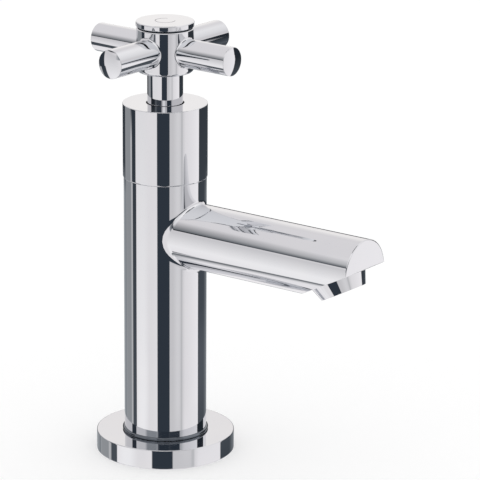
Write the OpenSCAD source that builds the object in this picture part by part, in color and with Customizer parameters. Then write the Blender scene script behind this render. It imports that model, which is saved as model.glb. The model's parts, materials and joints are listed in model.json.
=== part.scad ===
// Basin pillar tap with a cross handle and a quarter-turn ceramic disc headwork.
// Millimetres, +Z up. The origin is on the deck, in the middle of the foot flange.
// The spout points along +X, and the handle turns about +Z.

/* [Column] */
// Outside diameter of the column
column_d = 32; // [30:0.5:38]
// Wall of the cast body in the column and the spout
cast_wall = 2.8; // [2.2:0.1:3.2]
// Height of the seam under the shroud, above the axis of the spout
seam_rise = 21.4; // [19:0.2:40]

/* [Foot] */
// Diameter of the foot flange
flange_d = 53.8; // [50:0.2:66]
// Thickness of the foot flange
flange_h = 7.7; // [6:0.1:12]
// Thickness of the plated ring round the foot of the column
foot_ring_h = 1.3; // [0.9:0.05:1.6]
// Diameter of the tapped socket for the tail, at its tapping size
tail_d = 19; // [16:0.1:20]
// Depth of the tapped socket for the tail
tail_depth = 13; // [9:0.5:18]

/* [Spout] */
// Diameter of the spout
spout_d = 25.3; // [23:0.1:26.5]
// Height of the axis of the spout above the deck
spout_z = 89; // [70:0.5:120]
// Reach of the spout's end face from the axis of the column
spout_reach = 93.8; // [84:0.2:130]
// Slope of the cut under the spout's end, in degrees
cut_angle = 27.4; // [24:0.2:32]
// Height of the lower edge of the end face above the axis of the spout
chord_rise = 1.4; // [0:0.1:2.4]
// Radius of the hollow blend where the spout's sides leave the column
root_r = 7; // [3:0.5:8]
// Rounding of the spout's end edge
spout_edge = 0.7; // [0.3:0.1:1]

/* [Nozzle] */
// Diameter of the nozzle where it meets the sloping cut
nozzle_d = 21.3; // [20.4:0.1:22]
// Diameter of the nozzle at its tip
nozzle_tip_d = 17.5; // [16.6:0.1:19]
// Height of the nozzle
nozzle_h = 5.1; // [4:0.1:7]
// Distance from the lower edge of the end face to the middle of the nozzle
nozzle_back = 13.5; // [12.5:0.1:15]
// Distance between the cells of the flow straightener
cell_pitch = 1.5; // [1.3:0.05:2]
// Web between the cells
cell_web = 0.3; // [0.25:0.05:0.5]

/* [Shroud] */
// Height of the shroud
shroud_h = 29.1; // [28:0.1:44]
// How far the shroud stands proud of the column
shroud_step = 0.3; // [0.15:0.05:0.6]
// Thickness of the shroud's top
shroud_top = 2.5; // [1.8:0.1:3]
// Rounding of the lips over the seam and under the cap's groove
lip_edge = 0.5; // [0.3:0.1:0.7]
// Gap round the neck in the shroud's top
neck_gap = 0.5; // [0.3:0.05:0.8]

/* [Handle] */
// Diameter of the hub
hub_d = 22; // [20.6:0.1:26]
// Height of the hub
hub_h = 17.2; // [16:0.1:22]
// Rounding under the hub
hub_edge = 1.5; // [0.5:0.1:1.8]
// Diameter of the neck
neck_d = 13.7; // [13:0.1:15]
// Height of the bare neck between the shroud and the hub
neck_h = 12.2; // [8:0.2:20]
// Diameter of the bars of the cross
bar_d = 11.1; // [9:0.1:12]
// Reach of each bar from the axis of the hub
bar_reach = 33.2; // [26:0.2:42]
// Height of the domed end of each bar
bar_dome = 0.8; // [0.4:0.1:1.6]
// Turn of the closed cross from the line of the spout, in degrees
cross_turn = -1.4; // [-8:0.1:8]
// Diameter of the cap
cap_d = 22.3; // [20.8:0.1:26.2]
// Height of the cap above its shadow groove
cap_h = 2; // [1.5:0.1:3]
// Height of the shadow groove under the cap
cap_groove = 0.55; // [0.3:0.05:0.8]

/* [Headwork] */
// Wall of the column's collar round the thread that holds the headwork
collar_wall = 4.2; // [3.8:0.1:4.8]
// Room between the hexagon's corners and the inside of the shroud
hex_room = 0.85; // [0.4:0.05:1.4]
// Diameter of the spindle
spindle_d = 10; // [9:0.1:10.4]
// Wall of the cage round the ceramic discs
cage_wall = 1.1; // [0.9:0.05:1.5]
// Thickness of each ceramic disc
disc_h = 3.2; // [2.6:0.1:3.6]
// Angle that each port in the discs spans, in degrees
port_angle = 70; // [50:1:80]
// Diameter over the splines of the spindle
spline_d = 7.8; // [7:0.1:8.2]
// Number of splines
spline_count = 20; // [12:1:24]

/* [Hidden] */
$fn = 96;

// Clearances and the overrun of every cut
over = 1;
slip = 0.05;
running = 0.05;
face_gap = 0.02;

// Foot
column_r = column_d / 2;
bore_r = column_r - cast_wall;
foot_z = 0.6;
shoulder_w = 1.8;
spigot_r = column_r - shoulder_w;
foot_ring_r = foot_ring_h / 2;
foot_ring_proud = 0.75;
foot_rebate_r = column_r + foot_ring_proud - foot_ring_h;
flange_edge = 0.35;
gasket_w = 5.6;
gasket_h = 1.6;
gasket_rim = 2;
gasket_r = flange_d / 2 - gasket_rim;
tail_cone_h = bore_r - tail_d / 2;
tail_lead = 0.8;

// Levels inside the column
channel_r = spout_d / 2 - cast_wall;
seat_drop = 0.5;
seat_z = spout_z - channel_r - seat_drop;
bulkhead_h = 5;
seal_w = 3.4;
seam_z = spout_z + seam_rise;
collar_h = 8;
collar_z = seam_z + collar_h;
thread_h = 12;
thread_z = collar_z - thread_h;
shroud_wall = 1.6;
shroud_r = column_r + shroud_step;
shroud_bore_r = shroud_r - shroud_wall;
collar_r = shroud_bore_r - slip;
shroud_z = seam_z + shroud_h;
shroud_edge = 0.25;
shroud_hole_r = neck_d / 2 + neck_gap;
o_ring_w = 1.3;
o_ring_sunk = 1.25;
o_ring_room = 0.2;

// Spout root, end and nozzle
blend_sink = 0.03;
floor_t = 3;
outlet_step = 0.3;
outlet_r = nozzle_tip_d / 2 - outlet_step;
outlet_deep = 6;
outlet_shelf = 1.2;
outlet_boss_wall = 2;
outlet_boss_r = outlet_r + outlet_boss_wall;
washer_w = 1.8;
washer_h = 1;
passage_r = outlet_r - washer_w;
nozzle_wall = 1.3;
nozzle_bore_r = outlet_r - nozzle_wall;
nozzle_lip = 0.6;
nozzle_edge = 0.2;
straightener_r = nozzle_bore_r - slip;
straightener_wall = 0.9;
grid_h = 1.4;
screen_h = 0.5;
screen_hole_r = 0.35;
screen_pitch = 2.2;

// Discs, spindle and headwork
headwork_d = 2 * (collar_r - collar_wall);
hex_w = 2 * (shroud_bore_r - hex_room) * cos(30);
disc_room = 0.1;
cage_step = 0.85;
cage_r = headwork_d / 2 - cage_step;
disc_r = cage_r - cage_wall - disc_room;
seat_hole_r = disc_r - seal_w;
seal_h = 2.2;
seal_out = 1;
fixed_disc_z = seat_z + seal_h;
moving_disc_z = fixed_disc_z + disc_h + face_gap;
slot_w = 4;
slot_deep = 1.4;
foot_bar_w = 7;
foot_bar_h = 4;
foot_bar_z = moving_disc_z + disc_h + face_gap;
thrust_h = 0.8;
thrust_z = foot_bar_z + foot_bar_h;
shoulder_z = thrust_z + thrust_h + running;
cage_z = seat_z + seal_out;
window_w = 9;
window_h = 6;
port_in_r = 2.4;
port_rim = 1.8;
port_out_r = disc_r - port_rim;
spindle_r = spindle_d / 2;
spindle_bore_r = spindle_r + running;
gasket_gap_h = 1;
hex_z = collar_z + gasket_gap_h;
hex_h = 6;
barrel_step = 3;
barrel_r = hex_w / 2 - barrel_step;
barrel_h = 5;
barrel_z = hex_z + hex_h + barrel_h;
spindle_seal_w = 1.2;
spindle_seal_deep = 6;
spindle_seal_z = collar_z - spindle_seal_deep;
spindle_seal_step = 4;
clip_h = 0.8;
clip_deep = 0.7;
clip_w = 1.7;
clip_opening = 70;
clip_z = barrel_z + 2 * running;
stem_step = 0.6;
stem_r = spindle_r - stem_step;

// Glide ring and neck
glide_h = 2.4;
glide_z = shroud_z - shroud_top - glide_h;
neck_r = neck_d / 2;
neck_wall = 1.2;
sleeve_tail = 2;
sleeve_z = glide_z - sleeve_tail;
sleeve_socket = 2;

// Handle
hub_r = hub_d / 2;
hub_z = shroud_z + neck_h;
hub_top_z = hub_z + hub_h;
bar_z = hub_z + hub_h / 2;
bar_r = bar_d / 2;
bar_edge = 0.15;
dome_r = (bar_r * bar_r + bar_dome * bar_dome) / (2 * bar_dome);
dome_z = bar_reach - dome_r;
sleeve_top_z = hub_z + sleeve_socket;
bush_room = 0.2;
bush_r = neck_r - neck_wall - bush_room;
bush_h = 6.4;
bush_top_z = sleeve_top_z + bush_h;
spline_r = spline_d / 2;
spline_tooth = 0.4;
spline_land_share = 0.2;
spline_foot_share = 0.5;
spline_slack_share = 0.04;
spline_lead = 3;
spline_low_z = sleeve_top_z - spline_lead;
spindle_top_room = 1;
spindle_top_z = bush_top_z - spindle_top_room;
web_z = bush_top_z + slip;
web_h = 3.4;
well_z = web_z + web_h;
well_wall = 3;
well_r = hub_r - well_wall;
screw_r = 2;
screw_head_r = 3.6;
screw_head_h = 2.4;
screw_socket_w = 3;
screw_socket_deep = 1.4;
screw_bite = 10;
stud_r = 2.5;
stud_room = 0.9;
stud_h = 13;
stud_in_r = bush_r + stud_room;
stud_out_r = stud_in_r + stud_h;
cap_r = cap_d / 2;
cap_z = hub_top_z + cap_groove;
cap_groove_deep = 1;
cap_edge = 0.4;
cap_plug_r = well_r - slip;
cap_plug_h = 2.6;
cap_seal_w = 1.1;

// A ring with square edges between two levels
module ring(out_r, in_r, low_z, high_z) {
    translate([0, 0, low_z])
        difference() {
            cylinder(r = out_r, h = high_z - low_z);
            translate([0, 0, -over])
                cylinder(r = in_r, h = high_z - low_z + 2 * over);
        }
}

// A bar about +Z whose lower and upper edges are rounded
module rounded_bar(bar_radius, length, low_edge, high_edge) {
    rotate_extrude() {
        square([bar_radius - low_edge, length / 2]);
        translate([0, length / 2])
            square([bar_radius - high_edge, length / 2]);
        translate([0, low_edge])
            square([bar_radius, length - low_edge - high_edge]);
        if (low_edge > 0)
            translate([bar_radius - low_edge, low_edge])
                circle(r = low_edge);
        if (high_edge > 0)
            translate([bar_radius - high_edge, length - high_edge])
                circle(r = high_edge);
    }
}

// A ring of round section
module o_ring(middle_r, section_r, level) {
    translate([0, 0, level])
        rotate_extrude()
            translate([middle_r, 0])
                circle(r = section_r);
}

// Moves a shape from the lower edge of the end face onto the slope of the cut
module on_cut() {
    translate([spout_reach, 0, spout_z + chord_rise])
        rotate([0, -cut_angle, 0])
            children();
}

// Moves a shape to the outlet, with +Z out of the nozzle
module at_outlet() {
    on_cut()
        translate([-nozzle_back, 0, 0])
            rotate([180, 0, 0])
                children();
}

// Everything that lies below a plane at a height over the sloping cut
module below_cut(height) {
    on_cut()
        translate([-2 * spout_reach, -spout_d, height - spout_reach])
            cube([3 * spout_reach, 2 * spout_d, spout_reach]);
}

// The spout's round bar with its sloping cut and the hollow blend at its root. In plan the
// blend is the arc of a ball that rolls between the column and the side of the spout.
module spout_outside() {
    ball_y = spout_d / 2 + root_r - blend_sink;
    ball_x = sqrt(pow(column_r + root_r - blend_sink, 2) - pow(ball_y, 2));
    start_x = ball_x * column_r / (column_r + root_r);
    difference() {
        translate([0, 0, spout_z])
            rotate([0, 90, 0])
                rounded_bar(spout_d / 2, spout_reach, 0, spout_edge);
        below_cut(0);
    }
    translate([0, 0, spout_z])
        rotate([0, 90, 0])
            rotate_extrude()
                difference() {
                    translate([0, start_x])
                        square([ball_y, ball_x - start_x]);
                    translate([ball_y, ball_x])
                        circle(r = root_r);
                }
}

// The waterway through the spout, with the boss that carries the nozzle left standing
module spout_inside() {
    difference() {
        translate([0, 0, spout_z])
            rotate([0, 90, 0])
                cylinder(r = channel_r, h = spout_reach - cast_wall);
        below_cut(floor_t);
        at_outlet()
            translate([0, 0, -outlet_deep - outlet_shelf])
                cylinder(r = outlet_boss_r, h = outlet_deep + outlet_shelf);
    }
}

module body_casting() {
    color("silver")
        difference() {
            union() {
                translate([0, 0, foot_z])
                    cylinder(r = spigot_r, h = flange_h - foot_z);
                translate([0, 0, flange_h])
                    cylinder(r = foot_rebate_r, h = foot_ring_h);
                translate([0, 0, flange_h + foot_ring_h])
                    cylinder(r = column_r, h = seam_z - flange_h - foot_ring_h);
                translate([0, 0, seam_z])
                    cylinder(r = collar_r, h = collar_h);
                spout_outside();
            }
            // Tapped socket for the tail, opening into the column
            translate([0, 0, foot_z - over])
                cylinder(r = tail_d / 2, h = tail_depth + over);
            translate([0, 0, foot_z - over])
                cylinder(r1 = tail_d / 2 + tail_lead + over, r2 = tail_d / 2, h = tail_lead + over);
            translate([0, 0, foot_z + tail_depth])
                cylinder(r1 = tail_d / 2, r2 = bore_r, h = tail_cone_h);
            translate([0, 0, foot_z + tail_depth + tail_cone_h])
                cylinder(r = bore_r, h = seat_z - bulkhead_h - foot_z - tail_depth - tail_cone_h);
            // Valve seat and the chamber round the headwork
            translate([0, 0, seat_z - bulkhead_h - over])
                cylinder(r = seat_hole_r, h = bulkhead_h + 2 * over);
            translate([0, 0, seat_z])
                cylinder(r = bore_r, h = thread_z - seat_z);
            translate([0, 0, thread_z - over])
                cylinder(r = headwork_d / 2 + slip, h = thread_h + 2 * over);
            spout_inside();
            // Outlet for the nozzle
            at_outlet()
                translate([0, 0, -outlet_deep])
                    cylinder(r = outlet_r, h = outlet_deep + over);
            at_outlet()
                translate([0, 0, -outlet_deep - outlet_shelf - over])
                    cylinder(r = passage_r, h = outlet_shelf + 2 * over);
            // Groove for the ring that grips the shroud
            ring(collar_r + over, collar_r - o_ring_sunk,
                seam_z + collar_h / 2 - o_ring_w / 2 - o_ring_room,
                seam_z + collar_h / 2 + o_ring_w / 2 + o_ring_room);
        }
}

module foot_flange() {
    color("silver")
        difference() {
            rounded_bar(flange_d / 2, flange_h, flange_edge, flange_edge);
            translate([0, 0, -over])
                cylinder(r = spigot_r + slip, h = flange_h + 2 * over);
            ring(gasket_r, gasket_r - gasket_w, -over, gasket_h);
        }
}

module foot_ring() {
    color("silver")
        o_ring(foot_rebate_r + foot_ring_r + face_gap / 2, foot_ring_r - face_gap / 2,
            flange_h + foot_ring_r);
}

module deck_gasket() {
    color("black")
        ring(gasket_r - slip, gasket_r - gasket_w + slip, 0, gasket_h);
}

module seat_seal() {
    color("black")
        ring(disc_r, seat_hole_r, seat_z, fixed_disc_z);
}

// Two ports on opposite sides of a disc
module ports(middle_angle) {
    for (side = [0, 180])
        rotate([0, 0, middle_angle + side - port_angle / 2])
            translate([0, 0, -over])
                rotate_extrude(angle = port_angle)
                    translate([port_in_r, 0])
                        square([port_out_r - port_in_r, disc_h + 2 * over]);
}

module fixed_disc() {
    color("white")
        translate([0, 0, fixed_disc_z])
            difference() {
                cylinder(r = disc_r, h = disc_h);
                ports(0);
            }
}

module headwork_body() {
    hex_r = hex_w / 2 / cos(30);
    color("goldenrod")
        difference() {
            union() {
                translate([0, 0, cage_z])
                    cylinder(r = cage_r, h = thread_z - cage_z);
                translate([0, 0, thread_z])
                    cylinder(r = headwork_d / 2, h = hex_z - thread_z);
                intersection() {
                    translate([0, 0, hex_z])
                        cylinder(r = hex_r, h = hex_h, $fn = 6);
                    translate([0, 0, hex_z])
                        cylinder(r1 = hex_w / 2 + hex_h, r2 = hex_w / 2, h = hex_h);
                }
                translate([0, 0, hex_z])
                    cylinder(r = barrel_r, h = hex_h + barrel_h);
            }
            translate([0, 0, cage_z - over])
                cylinder(r = disc_r + disc_room, h = shoulder_z - cage_z + over);
            translate([0, 0, shoulder_z - over])
                cylinder(r = spindle_bore_r, h = barrel_z - shoulder_z + 2 * over);
            translate([-cage_r - over, -window_w / 2, moving_disc_z])
                cube([2 * cage_r + 2 * over, window_w, window_h]);
        }
}

module headwork_gasket() {
    color("firebrick")
        ring(hex_w / 2, headwork_d / 2 + slip, collar_z, hex_z);
}

module shroud() {
    color("silver")
        difference() {
            translate([0, 0, seam_z])
                rounded_bar(shroud_r, shroud_h, lip_edge, shroud_edge);
            translate([0, 0, seam_z - over])
                cylinder(r = shroud_bore_r, h = shroud_h - shroud_top + over);
            translate([0, 0, shroud_z - shroud_top - over])
                cylinder(r = shroud_hole_r, h = shroud_top + 2 * over);
        }
}

module shroud_o_ring() {
    color("black")
        o_ring(collar_r - o_ring_sunk + o_ring_w / 2, o_ring_w / 2 - face_gap,
            seam_z + collar_h / 2);
}

module glide_ring() {
    color("white")
        ring(shroud_bore_r - slip, neck_r + running, glide_z, glide_z + glide_h);
}

module nozzle_housing() {
    color("silver")
        at_outlet()
            difference() {
                union() {
                    translate([0, 0, nozzle_h - nozzle_edge])
                        cylinder(r1 = nozzle_tip_d / 2, r2 = nozzle_tip_d / 2 - nozzle_edge, h = nozzle_edge);
                    cylinder(r1 = nozzle_d / 2, r2 = nozzle_tip_d / 2, h = nozzle_h - nozzle_edge);
                    translate([0, 0, washer_h - outlet_deep])
                        cylinder(r = outlet_r - slip, h = outlet_deep - washer_h);
                }
                translate([0, 0, -outlet_deep])
                    cylinder(r = nozzle_bore_r, h = outlet_deep + nozzle_h - nozzle_lip);
                translate([0, 0, nozzle_h - nozzle_lip - over])
                    cylinder(r = nozzle_bore_r - nozzle_lip, h = nozzle_lip + 2 * over);
            }
}

module aerator_washer() {
    color("black")
        at_outlet()
            ring(outlet_r - slip, passage_r, -outlet_deep, washer_h - outlet_deep);
}

// Places on a triangular grid that lie within a radius
function grid_places(pitch, limit_r) =
    let (rows = ceil(limit_r / pitch) + 1)
    [for (row = [-rows:rows], step = [-rows:rows])
        let (x = (step + (abs(row) % 2) / 2) * pitch, y = row * pitch * sin(60))
        if (norm([x, y]) <= limit_r) [x, y]];

module aerator_screen() {
    color("lightgray")
        at_outlet()
            difference() {
                translate([0, 0, washer_h - outlet_deep])
                    cylinder(r = nozzle_bore_r - slip, h = screen_h);
                for (place = grid_places(screen_pitch, nozzle_bore_r - nozzle_wall))
                    translate([place[0], place[1], -outlet_deep])
                        cylinder(r = screen_hole_r, h = outlet_deep, $fn = 16);
            }
}

module flow_straightener() {
    low = washer_h - outlet_deep + screen_h;
    high = nozzle_h - nozzle_lip;
    cell_r = (cell_pitch - cell_web) / 2 / cos(30);
    color("gainsboro")
        at_outlet()
            difference() {
                translate([0, 0, low])
                    cylinder(r = straightener_r, h = high - low);
                translate([0, 0, low - over])
                    cylinder(r = straightener_r - straightener_wall, h = high - low - grid_h + over);
                for (place = grid_places(cell_pitch, nozzle_bore_r - nozzle_lip - cell_r - cell_web))
                    translate([place[0], place[1], high - grid_h - over])
                        rotate([0, 0, 30])
                            cylinder(r = cell_r, h = grid_h + 2 * over, $fn = 6);
            }
}

module moving_disc() {
    color("white")
        translate([0, 0, moving_disc_z])
            difference() {
                cylinder(r = disc_r, h = disc_h);
                ports(90);
                translate([-disc_r - over, -slot_w / 2, disc_h - slot_deep])
                    cube([2 * disc_r + 2 * over, slot_w, slot_deep + over]);
            }
}

// Outline of a splined bar, wider by a slack share of the tooth pitch where it is cut away
module spline_outline(tip_r, valley_r, slack_share) {
    pitch = 360 / spline_count;
    foot = spline_foot_share / 2 + slack_share;
    land = spline_land_share / 2 + slack_share;
    polygon([for (tooth = [0:spline_count - 1])
        for (corner = [[-foot, valley_r], [-land, tip_r], [land, tip_r], [foot, valley_r]])
            let (angle = (tooth + corner[0]) * pitch)
            [corner[1] * cos(angle), corner[1] * sin(angle)]]);
}

module spindle() {
    color("darkkhaki")
        difference() {
            union() {
                intersection() {
                    translate([0, 0, foot_bar_z])
                        cylinder(r = disc_r, h = foot_bar_h);
                    translate([-disc_r, -foot_bar_w / 2, foot_bar_z])
                        cube([2 * disc_r, foot_bar_w, foot_bar_h]);
                }
                intersection() {
                    translate([0, 0, foot_bar_z - slot_deep])
                        cylinder(r = disc_r, h = slot_deep + over);
                    translate([-disc_r, -slot_w / 2 + slip, foot_bar_z - slot_deep])
                        cube([2 * disc_r, slot_w - 2 * slip, slot_deep + over]);
                }
                translate([0, 0, foot_bar_z])
                    cylinder(r = spindle_r, h = clip_z + clip_h + over - foot_bar_z);
                translate([0, 0, clip_z + clip_h])
                    cylinder(r = stem_r, h = spline_low_z - clip_z - clip_h);
                translate([0, 0, spline_low_z])
                    linear_extrude(height = spindle_top_z - spline_low_z)
                        spline_outline(spline_r, spline_r - spline_tooth, 0);
            }
            for (level = [0, spindle_seal_step])
                ring(spindle_r + over, spindle_r - spindle_seal_w,
                    spindle_seal_z + level - spindle_seal_w / 2 - o_ring_room / 2,
                    spindle_seal_z + level + spindle_seal_w / 2 + o_ring_room / 2);
            ring(spindle_r + over, spindle_r - clip_deep, clip_z - face_gap, clip_z + clip_h + face_gap);
            translate([0, 0, spindle_top_z - screw_bite - over])
                cylinder(r = screw_r + face_gap, h = screw_bite + 2 * over);
        }
}

module thrust_washer() {
    color("ivory")
        ring(disc_r, spindle_r + slip, thrust_z, thrust_z + thrust_h);
}

module spindle_o_rings() {
    color("black")
        for (level = [0, spindle_seal_step])
            o_ring(spindle_r - spindle_seal_w / 2, spindle_seal_w / 2 - face_gap / 2, spindle_seal_z + level);
}

module spindle_circlip() {
    color("dimgray")
        rotate([0, 0, clip_opening / 2])
            translate([0, 0, clip_z])
                rotate_extrude(angle = 360 - clip_opening)
                    translate([spindle_r - clip_deep + face_gap, 0])
                        square([clip_w, clip_h]);
}

module neck_sleeve() {
    color("silver")
        ring(neck_r, neck_r - neck_wall, sleeve_z, sleeve_top_z);
}

module spline_bush() {
    color("goldenrod")
        difference() {
            translate([0, 0, sleeve_top_z])
                cylinder(r = bush_r, h = bush_h);
            translate([0, 0, sleeve_top_z - over])
                linear_extrude(height = bush_h + 2 * over)
                    spline_outline(spline_r + slip, spline_r - spline_tooth + slip, spline_slack_share);
        }
}

// Turns a shape about the hub to each of the four bars, numbered from the spout's side
module at_bar(number) {
    rotate([0, 0, cross_turn + 90 * number])
        translate([0, 0, bar_z])
            rotate([0, 90, 0])
                children();
}

module hub() {
    color("silver")
        difference() {
            translate([0, 0, hub_z])
                rounded_bar(hub_r, hub_h, hub_edge, lip_edge);
            translate([0, 0, hub_z - over])
                cylinder(r = neck_r + slip, h = sleeve_socket + over);
            translate([0, 0, hub_z])
                cylinder(r = bush_r + slip, h = web_z - hub_z);
            translate([0, 0, web_z - over])
                cylinder(r = screw_r + slip, h = web_h + 2 * over);
            translate([0, 0, well_z])
                cylinder(r = well_r, h = hub_top_z - well_z + over);
            for (number = [0:3])
                at_bar(number)
                    translate([0, 0, stud_in_r])
                        cylinder(r = stud_r + face_gap, h = hub_r - stud_in_r + over);
        }
}

// A round bar about +Z with a shallow dome on its end and a small rounding round the dome
module domed_bar() {
    edge_z = dome_z + sqrt(pow(dome_r - bar_edge, 2) - pow(bar_r - bar_edge, 2));
    rotate_extrude() {
        square([bar_r, edge_z]);
        intersection() {
            square([(bar_r - bar_edge) * dome_r / (dome_r - bar_edge), bar_reach]);
            translate([0, dome_z])
                circle(r = dome_r);
        }
        translate([bar_r - bar_edge, edge_z])
            circle(r = bar_edge);
    }
}

// One bar: round, domed at its end and hollowed at its root to sit on the hub
module bar(number) {
    color("silver")
        difference() {
            at_bar(number)
                domed_bar();
            translate([0, 0, hub_z - over])
                cylinder(r = hub_r + face_gap, h = hub_h + 2 * over);
            at_bar(number)
                cylinder(r = stud_r + face_gap, h = stud_out_r + face_gap);
        }
}

module bar_front() { bar(0); }
module bar_left() { bar(1); }
module bar_back() { bar(2); }
module bar_right() { bar(3); }

module bar_studs() {
    color("lightgray")
        for (number = [0:3])
            at_bar(number)
                translate([0, 0, stud_in_r])
                    cylinder(r = stud_r, h = stud_h);
}

module handle_screw() {
    color("lightgray")
        difference() {
            union() {
                translate([0, 0, spindle_top_z - screw_bite])
                    cylinder(r = screw_r, h = well_z - spindle_top_z + screw_bite);
                translate([0, 0, well_z])
                    cylinder(r = screw_head_r, h = screw_head_h);
            }
            translate([0, 0, well_z + screw_head_h - screw_socket_deep])
                cylinder(r = screw_socket_w / 2 / cos(30), h = screw_socket_deep + over, $fn = 6);
        }
}

module hub_cap() {
    color("silver")
        difference() {
            union() {
                translate([0, 0, cap_z])
                    rounded_bar(cap_r, cap_h, shroud_edge, cap_edge);
                translate([0, 0, hub_top_z])
                    cylinder(r = cap_r - cap_groove_deep, h = cap_groove + over);
                translate([0, 0, hub_top_z - cap_plug_h])
                    cylinder(r = cap_plug_r, h = cap_plug_h + over);
            }
            ring(cap_plug_r + over, cap_plug_r - cap_seal_w,
                hub_top_z - cap_plug_h / 2 - cap_seal_w / 2 - o_ring_room / 2,
                hub_top_z - cap_plug_h / 2 + cap_seal_w / 2 + o_ring_room / 2);
        }
}

module cap_o_ring() {
    color("black")
        o_ring(cap_plug_r - cap_seal_w / 2 + face_gap, cap_seal_w / 2, hub_top_z - cap_plug_h / 2);
}

body_casting();
foot_flange();
foot_ring();
deck_gasket();
seat_seal();
fixed_disc();
headwork_body();
headwork_gasket();
shroud();
shroud_o_ring();
glide_ring();
nozzle_housing();
aerator_washer();
aerator_screen();
flow_straightener();
moving_disc();
spindle();
thrust_washer();
spindle_o_rings();
spindle_circlip();
neck_sleeve();
spline_bush();
hub();
bar_front();
bar_left();
bar_back();
bar_right();
bar_studs();
handle_screw();
hub_cap();
cap_o_ring();
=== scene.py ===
import json
import math
import bpy
import numpy as np
from mathutils import Matrix, Vector


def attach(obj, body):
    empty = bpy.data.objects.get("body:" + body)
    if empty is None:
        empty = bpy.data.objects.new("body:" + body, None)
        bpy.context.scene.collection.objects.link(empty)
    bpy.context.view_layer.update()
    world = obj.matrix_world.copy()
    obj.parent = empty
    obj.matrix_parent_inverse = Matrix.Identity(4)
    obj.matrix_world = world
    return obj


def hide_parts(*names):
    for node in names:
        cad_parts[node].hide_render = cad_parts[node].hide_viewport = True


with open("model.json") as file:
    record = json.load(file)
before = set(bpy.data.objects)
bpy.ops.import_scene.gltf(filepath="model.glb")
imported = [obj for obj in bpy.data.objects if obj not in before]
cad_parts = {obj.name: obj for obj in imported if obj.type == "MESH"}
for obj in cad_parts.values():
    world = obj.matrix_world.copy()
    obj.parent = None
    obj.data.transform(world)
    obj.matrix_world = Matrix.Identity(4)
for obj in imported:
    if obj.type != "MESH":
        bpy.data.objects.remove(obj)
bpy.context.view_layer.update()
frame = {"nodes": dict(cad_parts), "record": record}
mm = 0.001                  # in metres
print("scene: frame loaded")


# Every shape below is worked out in millimetres and put into its mesh in metres.
# A patch is a grid of points and a grid of normals, so a polished surface mirrors smoothly.

def unit(vectors):
    # each vector divided by its own length
    return vectors / np.maximum(np.linalg.norm(vectors, axis=-1, keepdims=True), 1e-12)


def patchFaces(points, normals):
    # quads between neighbours of the grid, turned so that they face along the normals
    rows, cols = points.shape[:2]
    index = np.arange(rows * cols).reshape(rows, cols)
    quads = np.stack([index[:-1, :-1], index[1:, :-1], index[1:, 1:], index[:-1, 1:]], -1).reshape(-1, 4)
    flat = points.reshape(-1, 3)
    cross = np.cross(flat[quads[:, 2]] - flat[quads[:, 0]], flat[quads[:, 3]] - flat[quads[:, 1]])
    lean = (cross * normals.reshape(-1, 3)[quads].sum(1)).sum()
    return quads if lean > 0 else quads[:, ::-1]


def addObject(name, data):
    # a mesh or a camera put into the scene
    thing = bpy.data.objects.new(name, data)
    bpy.context.scene.collection.objects.link(thing)
    return thing


def makePiece(name, patches, body, material, replaced):
    # joins patches into one closed mesh: points that meet are merged, collapsed quads become triangles
    points, normals, quads, start = [], [], [], 0
    for grid, outwards in patches:
        quads.append(patchFaces(grid, outwards) + start)
        points.append(grid.reshape(-1, 3))
        normals.append(outwards.reshape(-1, 3))
        start += grid.shape[0] * grid.shape[1]
    points, normals, quads = np.concatenate(points), np.concatenate(normals), np.concatenate(quads)
    keys = np.floor(points * mergeSteps + mergeShift).astype(np.int64)
    firsts, merged = np.unique(keys, axis=0, return_index=True, return_inverse=True)[1:]
    corner = merged.reshape(-1)[quads]
    same = corner == np.roll(corner, -1, axis=1)
    whole = same.sum(1) == 0
    faces, loops = [corner[whole]], [quads[whole]]
    for side in range(4):
        pick = (same.sum(1) == 1) & same[:, side]
        keep = [k for k in range(4) if k != side]
        faces.append(corner[pick][:, keep])
        loops.append(quads[pick][:, keep])
    mesh = bpy.data.meshes.new(name)
    mesh.from_pydata((points[firsts] * mm).tolist(), [], [row for part in faces for row in part.tolist()])
    mesh.polygons.foreach_set("use_smooth", np.ones(len(mesh.polygons), bool))
    mesh.normals_split_custom_set(normals[np.concatenate([part.reshape(-1) for part in loops])].tolist())
    mesh.materials.append(material)
    piece = addObject(name, mesh)
    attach(piece, body)
    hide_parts(*replaced)
    print("scene:", name, len(mesh.polygons), "faces")


mergeSteps = 20000          # points within 1/20000 mm are one point
mergeShift = 0.237          # keeps round sizes away from the edges of that grid
turnSteps = 144             # steps in a full turn
arcStep = math.radians(12)  # longest step round a fillet


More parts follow.
